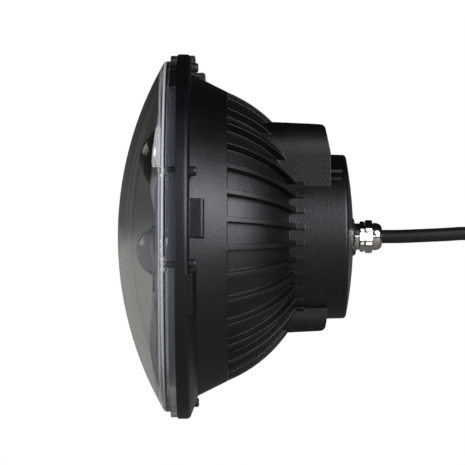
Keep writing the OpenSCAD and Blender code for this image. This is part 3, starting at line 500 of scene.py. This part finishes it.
# Light board: aluminium-core board in white solder mask, with yellow chips behind the lenses. Zinc-plated screws hold
# it to the milled heat spreader and the spreader to the housing. The driver's carrier is milled from the same stock.
chip_material = surfaced("yellow phosphor", (0.75, 0.6, 0.12), (0.85, 0.7, 0.2), 0.6, 0.5, grain=4000, clouds=600)
dress(chip_material, "light_chips")
board_material = surfaced("white solder mask", (0.62, 0.62, 0.6), (0.7, 0.7, 0.68), 0.45, 0.35, grain=1500, clouds=120)
dress(board_material, "light_board")
steel_material = surfaced("zinc-plated steel", (0.5, 0.5, 0.52), (0.6, 0.6, 0.62), 0.38, 0.25, grain=2500, clouds=400,
                          metal=1)
dress(steel_material, "board_screws", "spreader_screws", "driver_board_screws")
aluminium_material = surfaced("milled aluminium", (0.55, 0.56, 0.57), (0.66, 0.67, 0.68), 0.45, 0.32,
                              grain=1800, clouds=90, stretch=(1, 1, 0.1), metal=1)
dress(aluminium_material, "heat_spreader", "driver_carrier")


# Driver: green board screwed to the carrier's pillars, with its wound coil, sleeved capacitors and a moulded
# terminal. Red insulated leads run from it to the light board.
red_material = surfaced("red insulation", (0.35, 0.02, 0.015), (0.45, 0.03, 0.02), 0.45, 0.35, grain=1500, clouds=200)
dress(red_material, "board_leads")
green_material = surfaced("green solder mask", (0.01, 0.12, 0.04), (0.015, 0.16, 0.06), 0.4, 0.3, grain=1800,
                          clouds=150)
dress(green_material, "driver_board")
coil_material = surfaced("wound copper", (0.4, 0.16, 0.06), (0.55, 0.25, 0.1), 0.4, 0.3, grain=900, clouds=200,
                         stretch=(3, 0.3, 0.3))
dress(coil_material, "driver_inductor")
sleeve_material = surfaced("dark plastic sleeve", (0.02, 0.02, 0.03), (0.03, 0.03, 0.045), 0.35, 0.28, clouds=100)
dress(sleeve_material, "driver_capacitors")
terminal_material = surfaced("green moulding", (0.02, 0.18, 0.05), (0.03, 0.22, 0.07), 0.5, 0.4, clouds=150)
dress(terminal_material, "driver_terminal")


# Gland body: nickel-plated brass, turned from hexagon bar. It screws into the rear wall down to its collar, and
# carries the nut's thread behind a chamfered hexagon.
nickel_material = surfaced("nickel plate", (0.72, 0.7, 0.66), (0.8, 0.78, 0.74), 0.2, 0.1, grain=1500, clouds=300,
                           depth=0.000003, stretch=(0.3, 1, 1), metal=1)
gland_body = bmesh.new()
turn_body(gland_body, [
    (76.4, 4.3, 0), (76.4, 5.7, 0), (76.8, 6, 0), (83.8, 6, 0), (83.8, 6.2, 0), (84.0, 6.5, 0), (85.9, 6.5, 0),
    (86.2, 6.3, 0), (86.3, 6.1, 0), (86.3, 6.9, 13), (86.65, 7.5, 13), (88.25, 7.5, 13), (88.6, 6.9, 13),
    (88.6, 5.1, 0), (88.8, 5.1, 0), (89.1, 5.4, 0), (91.3, 5.4, 0), (91.5, 5.1, 0), (91.5, 4.3, 0),
], segments=96, closed=True)
finish_piece(gland_body, "gland_body_turned", nickel_material, "gland_body", sharp=20)


# Gland nut: nickel-plated brass, turned from hexagon bar, with chamfered corners, a round neck and a domed end. It
# screws on to the body and squeezes the seal round the lead.
gland_nut = bmesh.new()
domed_end = [(93.7 + 3.5 * math.sin(math.radians(turn)), 6.7 - 2.6 * (1 - math.cos(math.radians(turn))), 0)
             for turn in range(0, 91, 10)]
turn_body(gland_nut, [
    (88.8, 5.5, 0), (88.8, 7.35, 14), (89.2, 8.1, 14), (92.1, 8.1, 14), (92.5, 7.35, 14), (92.5, 6.5, 0),
    (92.9, 6.5, 0), (93.1, 6.7, 0), *domed_end, (97.2, 3.45, 0), (97.0, 3.35, 0), (93.7, 3.35, 0), (93.7, 5.5, 0),
], segments=96, closed=True)
finish_piece(gland_nut, "gland_nut_turned", nickel_material, "gland_nut", sharp=20)


# Plug: black block moulded on to the end of the lead, with gripping grooves on its sides. Three tinned brass blades
# stand out of its foot.
plug_material = surfaced("black plug moulding", (0.009, 0.009, 0.01), (0.014, 0.014, 0.015), 0.5, 0.4, grain=1500,
                         clouds=120, soften=0.0004)
dress(plug_material, "plug_housing")
brass_material = surfaced("tinned brass", (0.62, 0.5, 0.28), (0.72, 0.6, 0.36), 0.35, 0.22, grain=1800, clouds=300,
                          metal=1)
dress(brass_material, "plug_blades")
